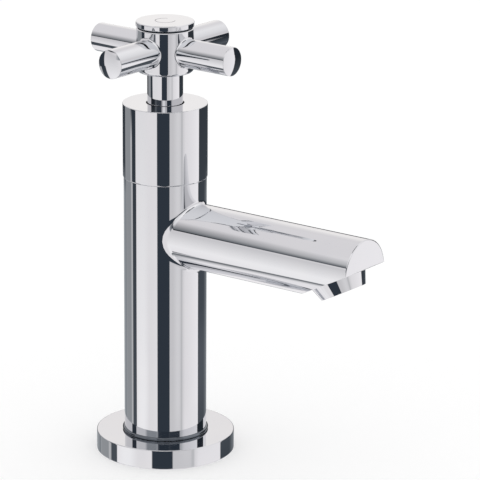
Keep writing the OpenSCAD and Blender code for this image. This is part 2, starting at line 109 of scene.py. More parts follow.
def outlineRuns(corners):
    # an outline in radius and height, walked anticlockwise: each corner is (radius, height, fillet).
    # A run is a straight edge or a fillet arc; each gives its points and outward normals.
    count = len(corners)
    spots = np.array([corner[:2] for corner in corners], float)
    starts, ends, arcs = [], [], []
    for i in range(count):
        here = spots[i]
        back = unit(spots[i - 1] - here)
        ahead = unit(spots[(i + 1) % count] - here)
        radius = corners[i][2]
        half = math.acos(max(-1, min(1, float(back @ ahead)))) / 2
        trim = radius / math.tan(half)
        ends.append(here + back * trim)
        starts.append(here + ahead * trim)
        arcs.append((here + unit(back + ahead) * radius / math.sin(half), radius) if radius > 0 else None)
    runs = []
    for i in range(count):
        nextOne = (i + 1) % count
        along = unit(spots[nextOne] - spots[i])
        out = np.array([along[1], -along[0]])
        runs.append((np.array([starts[i], ends[nextOne]]), np.array([out, out])))
        if arcs[nextOne]:
            middle, radius = arcs[nextOne]
            turn = unit(spots[(nextOne + 1) % count] - spots[nextOne])
            outNext = np.array([turn[1], -turn[0]])
            a0 = math.atan2(out[1], out[0])
            sweep = (math.atan2(outNext[1], outNext[0]) - a0 + math.pi) % (2 * math.pi) - math.pi
            angles = a0 + np.linspace(0, 1, max(3, math.ceil(abs(sweep) / arcStep) + 1)) * sweep
            outs = np.stack([np.cos(angles), np.sin(angles)], 1)
            runs.append((middle + outs * radius * (1 if sweep > 0 else -1), outs))
    return runs


def fullTurn(steps):
    # even angles round a circle, where the last is the first again
    return np.radians(np.arange(steps + 1) % steps * 360 / steps)


def spun(runs, steps=turnSteps):
    # each run turned about +Z: point = (radius cos, radius sin, height)
    cosines, sines = np.cos(fullTurn(steps)), np.sin(fullTurn(steps))
    patches = []
    for points, outs in runs:
        grid = np.stack([np.outer(points[:, 0], cosines), np.outer(points[:, 0], sines),
                         np.repeat(points[:, 1:], steps + 1, 1)], -1)
        outwards = np.stack([np.outer(outs[:, 0], cosines), np.outer(outs[:, 0], sines),
                             np.repeat(outs[:, 1:], steps + 1, 1)], -1)
        patches.append((grid, outwards))
    return patches


def lathe(corners):
    # a turned piece from the corners of its outline
    return spun(outlineRuns(corners))


def gridNormals(grid, towards):
    # cross product of the differences between neighbours, round a grid whose second parameter closes,
    # on the side that towards points to
    along = np.gradient(grid, axis=0)
    wrapped = np.concatenate([grid[:, -2:-1], grid, grid[:, 1:2]], 1)
    across = (wrapped[:, 2:] - wrapped[:, :-2]) / 2
    normals = unit(np.cross(along, across))
    return normals * np.sign((normals * towards).sum(-1, keepdims=True))


def moved(patches, turn, place):
    # patches turned by a 3 by 3 matrix and carried to a place
    turn = np.array(turn)
    return [(points @ turn.T + place, normals @ turn.T) for points, normals in patches]


def shares(steps):
    # even shares from 0 to 1, shaped to multiply rows of points
    return np.linspace(0, 1, steps + 1)[:, None, None]


def bridge(first, last, steps):
    # straight lines from each point of one row to the same point of another
    share = shares(steps)
    return first[None] * (1 - share) + last[None] * share


def rounding(first, corner, last, steps):
    # with t from 0 to 1: (1 - t) squared of first, twice t (1 - t) of corner and t squared of last
    t = shares(steps)
    return (1 - t) ** 2 * first + 2 * t * (1 - t) * corner + t ** 2 * last


def rollingBlend(wallR, tubeR, tubeZ, ball, cosines, sines, steps):
    # a ball that rolls between an upright round wall and a tube along +X: point = middle - ball * facing,
    # where facing turns evenly from the wall's normal to the tube's
    ballY = (tubeR + ball) * cosines
    ballX = np.sqrt((wallR + ball) ** 2 - ballY ** 2)
    middle = np.stack([ballX, ballY, tubeZ + (tubeR + ball) * sines], -1)
    wallOut = np.stack([ballX, ballY, 0 * ballX], -1) / (wallR + ball)[:, None]
    tubeOut = np.stack([0 * cosines, cosines, sines], -1)
    between = np.arccos(np.clip((wallOut * tubeOut).sum(-1), -1, 1))[None, :, None]
    share = shares(steps)
    facing = (np.sin((1 - share) * between) * wallOut + np.sin(share * between) * tubeOut) / np.sin(between)
    grid = middle - ball[None, :, None] * facing
    normals = gridNormals(grid, facing)
    normals[0], normals[-1] = wallOut, tubeOut
    return grid, normals


def spread(normal, grid):
    # one normal for a whole flat grid
    return np.broadcast_to(np.array(normal, float), grid.shape).copy()


# Materials

def linear(hexColour):
    # sRGB hex to linear colour
    parts = [int(hexColour[i:i + 2], 16) / 255 for i in (1, 3, 5)]
    return [c / 12.92 if c <= 0.04045 else ((c + 0.055) / 1.055) ** 2.4 for c in parts] + [1.0]


def feed(tree, node, inputs):
    # gives each input, in order or by name, a value or a link from another node's output
    for key, value in inputs.items() if isinstance(inputs, dict) else enumerate(inputs):
        if isinstance(value, bpy.types.NodeSocket):
            tree.links.new(value, node.inputs[key])
        else:
            node.inputs[key].default_value = value


def addNode(tree, kind, inputs=(), out=0, **settings):
    # a node of a kind with its settings and inputs; out picks the output that comes back, None all of them
    node = tree.nodes.new("ShaderNode" + kind)
    for key, value in settings.items():
        setattr(node, key, value)
    feed(tree, node, inputs)
    return node.outputs if out is None else node.outputs[out]


def newMaterial(name):
    # a node material, its shader and the piece's own coordinates
    material = bpy.data.materials.new(name)
    material.use_nodes = True
    tree = material.node_tree
    return material, tree, tree.nodes["Principled BSDF"], addNode(tree, "TexCoord", out="Object")


def clouded(tree, coords, look):
    # noise whose lumps have a real size, and the colour and roughness that drift with it
    cloud = addNode(tree, "TexNoise", {"Vector": coords, "Scale": 1 / (look["cloudMm"] * mm),
                                       "Detail": look["detail"], "Roughness": look["crisp"]})
    first, second = map(linear, look["colours"])
    colour = addNode(tree, "Mix", {0: cloud, 6: first, 7: second}, 2, data_type="RGBA")
    return cloud, colour, addNode(tree, "MapRange", (cloud, *look["span"], *look["rough"]))


chrome = {"colours": ("#e1e2e4", "#dcdee2"), "cloudMm": 14, "detail": 3.0, "crisp": 0.5, "span": (0.35, 0.7),
          "rough": (0.018, 0.045), "waveMm": 22, "waveDetail": 1.0, "waveDeepMm": 0.0015}


def chromePlate(name="chromePlate", look=chrome, mark=None):
    # electroplated chrome on buffed brass: cold bright mirror, with the faintest haze where it was wiped
    material, tree, shader, coords = newMaterial(name)
    colour, rough = clouded(tree, coords, look)[1:]
    if mark:
        # etched open circle, plain and dull, where radius and bearing about +Z lie on the mark
        east, north, level = addNode(tree, "SeparateXYZ", (coords,), None)
        flat = addNode(tree, "CombineXYZ", (east, north))
        radius = addNode(tree, "VectorMath", (flat,), 1, operation="LENGTH")
        offLine = addNode(tree, "Math", (radius, mark["markR"] * mm), operation="SUBTRACT")
        offLine = addNode(tree, "Math", (offLine,), operation="ABSOLUTE")
        onLine = addNode(tree, "MapRange", (offLine, mark["markW"] * mm / 2, mark["markW"] * mm, 1.0, 0.0))
        turned = addNode(tree, "VectorRotate", {"Vector": flat, "Angle": -math.radians(mark["markTurn"])},
                         rotation_type="Z_AXIS")
        east, north = addNode(tree, "SeparateXYZ", (turned,), None)[:2]
        bearing = addNode(tree, "Math", (north, east), operation="ARCTAN2")
        bearing = addNode(tree, "Math", (bearing,), operation="ABSOLUTE")
        gap = math.radians(mark["markGap"])
        inArc = addNode(tree, "MapRange", (bearing, gap, gap + mark["markFade"], 0.0, 1.0))
        etched = addNode(tree, "Math", (onLine, inArc), operation="MULTIPLY")
        colour = addNode(tree, "Mix", {0: etched, 6: colour, 7: linear(mark["markColour"])}, 2,
                         data_type="RGBA")
        # below the cap's edge the plate is dull, and its colour is darkened there as painted shade in the
        # groove
        shadeBelow, shadeEndsAbove = [(mark["low"] + rise) * mm for rise in mark["grooveShadeRise"]]
        paintedGrooveShade = addNode(tree, "MapRange", (level, shadeBelow, shadeEndsAbove, 1.0, 0.0))
        colour = addNode(tree, "Mix", {0: paintedGrooveShade, 6: colour, 7: linear(mark["grooveShadeHex"])}, 2,
                         data_type="RGBA")
        dull = addNode(tree, "Math", (etched, paintedGrooveShade), operation="MAXIMUM")
        rough = addNode(tree, "MapRange", (dull, 0.0, 1.0, rough, mark["markRough"]))
    wave = addNode(tree, "TexNoise", {"Vector": coords, "Scale": 1 / (look["waveMm"] * mm),
                                      "Detail": look["waveDetail"]})
    bump = addNode(tree, "Bump", {"Height": wave, "Distance": look["waveDeepMm"] * mm})
    feed(tree, shader, {"Base Color": colour, "Metallic": 1.0, "Roughness": rough, "Normal": bump})
    return material


rubber = {"colours": ("#121315", "#1f2022"), "cloudMm": 2.5, "detail": 4.0, "crisp": 0.5, "span": (0.3, 0.7),
          "rough": (0.22, 0.4), "ior": 1.52, "grainMm": 0.15, "grainDeepMm": 0.004}
acetal = {"colours": ("#f1f1ec", "#e4e4dd"), "cloudMm": 3, "detail": 3.0, "crisp": 0.5, "span": (0.3, 0.7),
          "rough": (0.3, 0.45), "ior": 1.48, "grainMm": 0.12, "grainDeepMm": 0.003}


def mouldedGrain(name, look):
    # nitrile rubber: near black with a soft sheen. Acetal and its low-friction kin: milky white and waxy.
    # Both show the faint grain of a spark-eroded mould.
    material, tree, shader, coords = newMaterial(name)
    colour, rough = clouded(tree, coords, look)[1:]
    grain = addNode(tree, "TexNoise", {"Vector": coords, "Scale": 1 / (look["grainMm"] * mm)})
    bump = addNode(tree, "Bump", {"Height": grain, "Distance": look["grainDeepMm"] * mm})
    feed(tree, shader, {"Base Color": colour, "Roughness": rough, "IOR": look["ior"], "Normal": bump})
    return material


alumina = {"colours": ("#efece3", "#f6f4ee"), "cloudMm": 0.6, "detail": 3.0, "crisp": 0.5,
           "span": (0.3, 0.7), "rough": (0.16, 0.28), "ior": 1.77}


def aluminaCeramic():
    # lapped alumina: cream white, dense and very even, with a low polish
    material, tree, shader, coords = newMaterial("aluminaCeramic")
    colour, rough = clouded(tree, coords, alumina)[1:]
    feed(tree, shader, {"Base Color": colour, "Roughness": rough, "IOR": alumina["ior"]})
    return material


# Blender's wave runs 20 radians a unit, which bandRadians takes out again, so the turning lines come
# 2 pi times lineMm apart: about 1.3 mm, far coarser than the real feed, so that they show
brass = {"colours": ("#d9b871", "#b8924a"), "cloudMm": 5, "detail": 4.0, "crisp": 0.5, "span": (0.3, 0.7),
         "rough": (0.2, 0.38), "lineMm": 0.2, "bandRadians": 20, "waver": 0.4, "lineDeepMm": 0.006}


def turnedBrass(name, look):
    # machined brass: warm yellow with fine turning lines round its own axis
    material, tree, shader, coords = newMaterial(name)
    colour, rough = clouded(tree, coords, look)[1:]
    scale = 1 / (look["lineMm"] * mm) / look["bandRadians"]
    lines = addNode(tree, "TexWave", {"Vector": coords, "Scale": scale, "Distortion": look["waver"]}, "Fac",
                    bands_direction="Z")
    bump = addNode(tree, "Bump", {"Height": lines, "Distance": look["lineDeepMm"] * mm})
    feed(tree, shader, {"Base Color": colour, "Metallic": 1.0, "Roughness": rough, "Normal": bump})
    return material


fibre = {"colours": ("#6d2a1d", "#86402f"), "cloudMm": 0.8, "detail": 6.0, "crisp": 0.7, "span": (0.3, 0.7),
         "rough": (0.6, 0.8), "stretch": 0.2, "deepMm": 0.02, "metallic": 0.0}
steel = {"colours": ("#b3b1ad", "#c4c3c0"), "cloudMm": 0.5, "detail": 4.0, "crisp": 0.6, "span": (0.3, 0.7),
         "rough": (0.22, 0.36), "stretch": 0.15, "deepMm": 0.003, "metallic": 1.0}


def drawnOut(name, look):
    # red vulcanised fibre: dull, slightly mottled with its pressed strands. Drawn stainless steel: grey
    # metal with short draw lines. In both the noise is drawn out along +Z and stands up as relief.
    material, tree, shader, coords = newMaterial(name)
    along = addNode(tree, "Mapping", {"Vector": coords, "Scale": (1.0, 1.0, look["stretch"])})
    strands, colour, rough = clouded(tree, along, look)
    bump = addNode(tree, "Bump", {"Height": strands, "Distance": look["deepMm"] * mm})
    feed(tree, shader, {"Base Color": colour, "Metallic": look["metallic"], "Roughness": rough,
                        "Normal": bump})
    return material


spindle = dict(brass, colours=("#d3b778", "#b3934f"))
slippery = dict(acetal, colours=("#f4f3ec", "#ebeae0"))
materials = {"chrome_plate": chromePlate(), "black_rubber": mouldedGrain("nitrileRubber", rubber),
             "alumina": aluminaCeramic(), "brass": turnedBrass("turnedBrass", brass),
             "spindle_brass": turnedBrass("spindleBrass", spindle), "fibre": drawnOut("pressedFibre", fibre),
             "white_acetal": mouldedGrain("mouldedAcetal", acetal),
             "ptfe": mouldedGrain("lowFrictionPlastic", slippery),
             "stainless": drawnOut("stainlessSteel", steel)}
for part in frame["record"]["subparts"]:
    shown = frame["nodes"][part["node"]].data
    shown.materials.clear()
    shown.materials.append(materials[part["material_slot"]])
print("scene: materials made")


# The cast body: a round column with a round spout let into it by a hollow blend

casting = {
    "columnR": 16.0, "footZ": 0.6, "spigotR": 14.2, "shoulderZ": 7.7, "rebateR": 15.45, "rebateZ": 9.0,
    "seamZ": 110.4, "seamEdge": 0.15, "collarR": 14.65, "collarZ": 118.4,
    "threadR": 10.5, "threadZ": 106.4, "boreR": 13.2, "seatZ": 78.65, "seatR": 5.0, "bulkhead": 5.0,
    "socketR": 9.5, "socketDeep": 13.0, "socketLead": 0.8, "threadPitch": 1.81, "threadDeep": 0.55,
    "spoutR": 12.65, "spoutZ": 89.0, "reach": 93.8, "cutAngle": math.radians(27.4), "chordRise": 1.4,
    "endEdge": 0.45, "endDome": 0.2, "cutEdge": 0.35, "chordEdge": 0.25,
    "blendTop": 1.5, "blendBottom": 2.0, "blendSide": 6.5, "blendPower": 6,
    "patchAngle": 75.0, "patchLow": 21.0, "patchHigh": 20.0, "patchAcross": 60, "patchUp": 16,
    "blendSteps": 12, "wallSteps": 10, "spoutSteps": 6, "edgeSteps": 5, "faceSteps": 8, "threadSteps": 84,
    "edgePull": 0.83, "cornerFade": 0.12, "cutMiddle": 12, "collarEdge": 0.3,
    "outletBack": 13.5, "outletR": 8.45, "outletDeep": 6.0}


def slopeBasis():
    # the sloping cut: up the slope, across it, and out of it
    b = casting["cutAngle"]
    return (np.array([math.cos(b), 0, math.sin(b)]), np.array([0, 1.0, 0]),
            np.array([math.sin(b), 0, -math.cos(b)]))


def castBody():
    # column: point = (radius cos, radius sin, height). Spout: point = (x, radius cos, axis + radius sin),
    # from the blend to the end face or the sloping cut
    c = casting
    columnR, spoutR, spoutZ = c["columnR"], c["spoutR"], c["spoutZ"]
    # rectangle round the spout's root on the unrolled column, walked from its +y side upwards
    across, up = c["patchAcross"], c["patchUp"]
    span = math.radians(c["patchAngle"])
    edgeA = np.linspace(-span, span, across + 1)
    edgeZ = np.linspace(spoutZ - c["patchLow"], spoutZ + c["patchHigh"], up + 1)
    loopA = np.concatenate([np.full(up, span), edgeA[:0:-1], np.full(up, -span), edgeA[:-1]])
    loopZ = np.concatenate([edgeZ[:-1], np.full(across, edgeZ[-1]),
                            edgeZ[:0:-1], np.full(across, edgeZ[0])])
    theta = np.arctan2((loopZ - spoutZ) / c["patchHigh"], loopA / span)
    shift = int(np.argmin(np.abs(theta)))
    loopA, loopZ, theta = (np.roll(v, -shift) for v in (loopA, loopZ, theta))
    theta = np.unwrap(theta)
    # two of the spout's lines run exactly to the ends of the chord
    cornerRise = c["chordRise"] - c["endDome"] * math.tan(c["cutAngle"])
    chordTheta = math.asin(cornerRise / spoutR)
    theta[np.argmin(np.abs(theta - chordTheta))] = chordTheta
    theta[np.argmin(np.abs(theta - (math.pi - chordTheta)))] = math.pi - chordTheta
    theta = np.append(theta, theta[0] + 2 * math.pi)
    loopA, loopZ = np.append(loopA, loopA[0]), np.append(loopZ, loopZ[0])
    cosT, sinT = np.cos(theta), np.sin(theta)
    cosT[-1], sinT[-1] = cosT[0], sinT[0]
    # the blend's ball is larger at the sides than above and below
    tip = np.where(sinT > 0, c["blendTop"], c["blendBottom"])
    ball = tip + (c["blendSide"] - tip) * np.abs(cosT) ** c["blendPower"]
    blendGrid, blendNormals = rollingBlend(columnR, spoutR, spoutZ, ball, cosT, sinT, c["blendSteps"])
    onSpout = blendNormals[-1]
    # column wall between the blend and the rectangle, straight on the unrolled column
    tangentA = np.arctan2(blendGrid[0, :, 1], blendGrid[0, :, 0])
    wallA = bridge(tangentA[:, None], loopA[:, None], c["wallSteps"])[..., 0]
    wallZ = bridge(blendGrid[0, :, 2:], loopZ[:, None], c["wallSteps"])[..., 0]

    def onWall(angles, heights):
        # points (radius cos, radius sin, height) of the column, and their normals
        grid = np.stack([columnR * np.cos(angles), columnR * np.sin(angles), heights + 0 * angles], -1)
        return grid, np.stack([np.cos(angles), np.sin(angles), 0 * angles], -1)

    ringA = fullTurn(turnSteps)
    patchSteps = round(c["patchAngle"] / 360 * turnSteps)
    backA = np.radians(np.arange(patchSteps, turnSteps - patchSteps + 1) * 360 / turnSteps)
    low = np.array([c["rebateZ"], edgeZ[0]])
    high = np.array([edgeZ[-1], c["seamZ"] - c["seamEdge"]])
    patches = [onWall(wallA, wallZ),
               onWall(np.tile(ringA, (2, 1)), low[:, None]),
               onWall(np.tile(backA, (up + 1, 1)), edgeZ[:, None]),
               onWall(np.tile(ringA, (2, 1)), high[:, None]),
               (blendGrid, blendNormals)]
    # spout lines along +X to the end face, or to the sloping cut below the chord
    upSlope, side, outSlope = slopeBasis()
    chordZ = spoutZ + c["chordRise"]
    lineY, lineZ = spoutR * cosT, spoutZ + spoutR * sinT
    isEnd = sinT >= cornerRise / spoutR - 1e-9
    cutX = c["reach"] - (chordZ - lineZ) / math.tan(c["cutAngle"])
    rim = np.stack([np.where(isEnd, c["reach"] - c["endDome"], cutX), lineY, lineZ], -1)
    # the roundings run out to nothing at the two corners of the chord
    atCorner = np.clip(np.abs(sinT - cornerRise / spoutR) / c["cornerFade"], 0, 1) ** 0.5
    edge = np.where(isEnd, c["endEdge"], c["cutEdge"]) * atCorner

    def onDome(rows):
        # the end face falls away from its middle with the square of the distance
        offAxis = rows - np.array([0, 0, spoutZ])
        fall = c["endDome"] * (offAxis[..., 1:] ** 2).sum(-1) / spoutR ** 2
        domed = rows.copy()
        domed[..., 0] = c["reach"] - fall
        slope = 2 * c["endDome"] / spoutR ** 2 * offAxis
        slope[..., 0] = 1.0
        return domed, unit(slope)

    # on the flat side of the rim the rounding ends inwards of it, square to the rim
    rimAlong = np.gradient(np.concatenate([rim[-2:-1], rim, rim[1:2]]), axis=0)[1:-1]
    flatNormal = np.where(isEnd[:, None], onDome(rim)[1], outSlope)
    inwards = unit(np.cross(flatNormal, rimAlong))
    fromMiddle = rim - np.array([c["reach"] - c["cutMiddle"], 0, spoutZ])
    inwards *= -np.sign((inwards * fromMiddle).sum(-1, keepdims=True))
    inwards = np.where(isEnd[:, None], -onSpout, inwards)
    before = rim - np.array([1.0, 0, 0]) * edge[:, None]
    after = rim + inwards * edge[:, None]
    after[isEnd] = onDome(after[isEnd])[0]
    lineGrid = bridge(blendGrid[-1], before, c["spoutSteps"])
    patches.append((lineGrid, np.broadcast_to(onSpout, lineGrid.shape)))
    t = shares(c["edgeSteps"])
    pulled = rim * c["edgePull"] + (before + after) * ((1 - c["edgePull"]) / 2)
    edgeGrid = rounding(before, pulled, after, c["edgeSteps"])
    patches.append((edgeGrid, unit((1 - t) * onSpout + t * flatNormal)))
    # end face: upright lines from the rim's arc down to the chord
    top = np.flatnonzero(isEnd[:-1])
    topRow = after[top]
    chordTaper = np.clip(np.sin(np.linspace(0, math.pi, len(top))), 0, 1) ** 0.5 * c["chordEdge"]
    chordRow = onDome(np.stack([0 * lineY[top], lineY[top], np.full(len(top), chordZ)], -1))[0]
    chordRow[:, 2] -= (c["reach"] - chordRow[:, 0]) * math.tan(c["cutAngle"])
    endLow = chordRow + np.array([0, 0, 1.0]) * chordTaper[:, None]
    cutHigh = chordRow - upSlope * chordTaper[:, None]
    topRow[0], topRow[-1] = rim[top[0]], rim[top[-1]]
    endLow[:, 1], cutHigh[:, 1] = topRow[:, 1], topRow[:, 1]
    chordRow[:, 1] = topRow[:, 1]
    endGrid, endNormals = onDome(bridge(topRow, endLow, c["faceSteps"]))
    endGrid[0], endGrid[-1] = topRow, endLow
    patches.append((endGrid, endNormals))
    chordGrid = rounding(endLow, chordRow, cutHigh, c["edgeSteps"])
    patches.append((chordGrid, unit((1 - t) * endNormals[-1] + t * outSlope + 0 * chordGrid)))
    # sloping cut: from the rim and the chord in to the outlet's circle, then down its bore
    bottom = np.flatnonzero(~isEnd)
    bottom = np.concatenate([[top[-1]], bottom[bottom < len(theta) - 1], [top[0]]])
    bottom = np.concatenate([bottom[:1], bottom[1:-1][np.argsort(theta[bottom[1:-1]])], bottom[-1:]])
    outer = np.concatenate([after[bottom[:-1]], [rim[top[0]]], cutHigh[1:-1], [rim[top[-1]]]])
    outer[0] = rim[top[-1]]
    outlet = np.array([c["reach"], 0, chordZ]) - upSlope * c["outletBack"]
    turned = np.arctan2((outer - outlet) @ side, (outer - outlet) @ upSlope)[:, None]
    circle = outlet + c["outletR"] * (np.cos(turned) * upSlope + np.sin(turned) * side)
    cutGrid = bridge(outer, circle, c["faceSteps"])
    patches.append((cutGrid, spread(outSlope, cutGrid)))
    boreGrid = bridge(circle, circle - outSlope * c["outletDeep"], 2)
    patches.append((boreGrid, np.broadcast_to(unit(outlet - circle), boreGrid.shape)))
    floorRing = circle - outSlope * c["outletDeep"]
    floorGrid = bridge(floorRing, np.broadcast_to(outlet - outSlope * c["outletDeep"], floorRing.shape), 3)
    patches.append((floorGrid, spread(outSlope, floorGrid)))
    # seam, collar, inside and foot, as one outline without the column's wall
    coneZ = c["footZ"] + c["socketDeep"]
    rest = [(columnR, c["rebateZ"], 0), (columnR, c["seamZ"], c["seamEdge"]), (c["collarR"], c["seamZ"], 0),
            (c["collarR"], c["collarZ"], c["collarEdge"]), (c["threadR"], c["collarZ"], c["collarEdge"]),
            (c["threadR"], c["threadZ"], 0),
            (c["boreR"], c["threadZ"], 0), (c["boreR"], c["seatZ"], 0), (c["seatR"], c["seatZ"], 0),
            (c["seatR"], c["seatZ"] - c["bulkhead"], 0), (c["boreR"], c["seatZ"] - c["bulkhead"], 0),
            (c["boreR"], coneZ + c["boreR"] - c["socketR"], 0), (c["socketR"], coneZ, 0),
            (c["socketR"], c["footZ"] + c["socketLead"], 0),
            (c["socketR"] + c["socketLead"], c["footZ"], 0),
            (c["spigotR"], c["footZ"], 0), (c["spigotR"], c["shoulderZ"], 0),
            (c["rebateR"], c["shoulderZ"], 0), (c["rebateR"], c["rebateZ"], 0)]
    # the straight wall of the socket is left out, because the tapped one takes its place
    patches += spun([run for run in outlineRuns(rest)[1:] if not np.allclose(run[0][:, 0], c["socketR"])])
    # tapped socket: a V groove climbs one pitch a turn and fades out at both ends, where
    # radius = socket's + depth * fade * zigzag of (height / pitch - turns)
    turns = np.arange(turnSteps + 1) / turnSteps
    height = np.linspace(c["footZ"] + c["socketLead"], coneZ, c["threadSteps"] + 1)[:, None]
    phase = height / c["threadPitch"] - turns
    fade = np.clip(np.minimum(height - height[0], height[-1] - height) / c["threadPitch"], 0, 1)
    wallR = c["socketR"] + c["threadDeep"] * fade * np.abs((phase * 2) % 2 - 1)
    socketGrid = np.stack([wallR * np.cos(ringA), wallR * np.sin(ringA), height + 0 * wallR], -1)
    inside = -np.stack([np.cos(ringA), np.sin(ringA), 0 * ringA], -1)
    patches.append((socketGrid, gridNormals(socketGrid, inside)))
    return patches


makePiece("castBody", castBody(), "tap_body", materials["chrome_plate"], ["body_casting"])


# Turned pieces of the column

flange = {"r": 26.9, "h": 7.7, "edge": 0.35, "boreR": 14.25,
          "gasketR": 24.9, "gasketIn": 19.3, "gasketH": 1.6}
flangeOutline = [(flange["boreR"], 0, 0), (flange["gasketIn"], 0, 0),
                 (flange["gasketIn"], flange["gasketH"], 0), (flange["gasketR"], flange["gasketH"], 0),
                 (flange["gasketR"], 0, 0),
                 (flange["r"], 0, flange["edge"]), (flange["r"], flange["h"], flange["edge"]),
                 (flange["boreR"], flange["h"], 0)]
makePiece("footFlange", lathe(flangeOutline), "tap_body", materials["chrome_plate"],
          ["foot_flange"])

# the ring reads darker than the column: its plate colour is darkened as painted shade, standing in for the
# dark reflections it shows
ring = {"r": 16.11, "section": 0.64, "z": 8.35, "steps": 24, "colours": ("#7d838a", "#62686f")}


def roundRing():
    # a circle carried round +Z: outline point = (radius + section cos, height + section sin)
    angles = fullTurn(ring["steps"])
    outs = np.stack([np.cos(angles), np.sin(angles)], 1)
    return spun([(np.array([ring["r"], ring["z"]]) + outs * ring["section"], outs)])


# chrome in the darker colour of that painted shade
shadedRingLook = dict(chrome, colours=ring["colours"])
makePiece("footRing", roundRing(), "tap_body", chromePlate("chromeWithPaintedShade", shadedRingLook),
          ["foot_ring"])

sleeve = {"r": 16.3, "low": 110.4, "high": 139.5, "lip": 0.5, "edge": 0.25, "boreR": 14.7, "boreEdge": 0.15,
          "top": 2.5, "holeR": 7.35, "holeEdge": 0.1}
underTop = sleeve["high"] - sleeve["top"]
sleeveOutline = [(sleeve["r"], sleeve["low"], sleeve["lip"]), (sleeve["r"], sleeve["high"], sleeve["edge"]),
                 (sleeve["holeR"], sleeve["high"], sleeve["holeEdge"]), (sleeve["holeR"], underTop, 0),
                 (sleeve["boreR"], underTop, 0), (sleeve["boreR"], sleeve["low"], sleeve["boreEdge"])]
makePiece("shroudSleeve", lathe(sleeveOutline), "tap_body", materials["chrome_plate"],
          ["shroud"])

# The nozzle stands square to the sloping cut

nozzle = {"baseR": 10.65, "tipR": 8.75, "h": 5.1, "edge": 0.2, "lipR": 6.55, "lipEdge": 0.1, "lip": 0.6,
          "boreR": 7.15, "tailR": 8.4, "tail": 5.0}
lipIn = nozzle["h"] - nozzle["lip"]
nozzleOutline = [(nozzle["tailR"], -nozzle["tail"], 0), (nozzle["tailR"], 0, 0), (nozzle["baseR"], 0, 0),
                 (nozzle["tipR"], nozzle["h"], nozzle["edge"]),
                 (nozzle["lipR"], nozzle["h"], nozzle["lipEdge"]), (nozzle["lipR"], lipIn, 0),
                 (nozzle["boreR"], lipIn, 0), (nozzle["boreR"], -nozzle["tail"], 0)]
upSlope, side, outSlope = slopeBasis()
outletPlace = np.array([casting["reach"], 0, casting["spoutZ"] + casting["chordRise"]]) \
    - upSlope * casting["outletBack"]
nozzleTurn = np.stack([upSlope, -side, outSlope], 1)
makePiece("nozzleCone", moved(lathe(nozzleOutline), nozzleTurn, outletPlace), "tap_body",
          materials["chrome_plate"], ["nozzle_housing"])
print("scene: column made")


# The handle: neck, hub, four bars and cap

neck = {"r": 6.85, "inR": 5.65, "low": 132.6, "high": 153.7, "edge": 0.2}
neckOutline = [(neck["r"], neck["low"], neck["edge"]), (neck["r"], neck["high"], 0),
               (neck["inR"], neck["high"], 0), (neck["inR"], neck["low"], 0)]
makePiece("neckSleeve", lathe(neckOutline), "handle", materials["chrome_plate"],
          ["neck_sleeve"])

hub = {"r": 11.0, "low": 151.7, "high": 168.9, "edge": 1.5, "topEdge": 0.5, "socketR": 6.9,
       "socketEdge": 0.1, "bushR": 5.5, "webZ": 160.15, "webH": 3.4, "screwR": 2.05, "wellR": 8.0}
webTop = hub["webZ"] + hub["webH"]
hubOutline = [(hub["socketR"], hub["low"], hub["socketEdge"]), (hub["r"], hub["low"], hub["edge"]),
              (hub["r"], hub["high"], hub["topEdge"]), (hub["wellR"], hub["high"], 0),
              (hub["wellR"], webTop, 0), (hub["screwR"], webTop, 0), (hub["screwR"], hub["webZ"], 0),
              (hub["bushR"], hub["webZ"], 0), (hub["bushR"], neck["high"], 0),
              (hub["socketR"], neck["high"], 0)]
makePiece("crossHub", lathe(hubOutline), "handle", materials["chrome_plate"], ["hub"])

bar = {"r": 5.55, "z": 160.3, "reach": 33.2, "dome": 0.8, "edge": 0.15, "rootBall": 0.8, "turn": -1.4,
       "studR": 2.52, "studEnd": 19.37, "seat": 0.02,
       "steps": 96, "rootSteps": 10, "edgeSteps": 5, "domeSteps": 8, "seatSteps": 4}


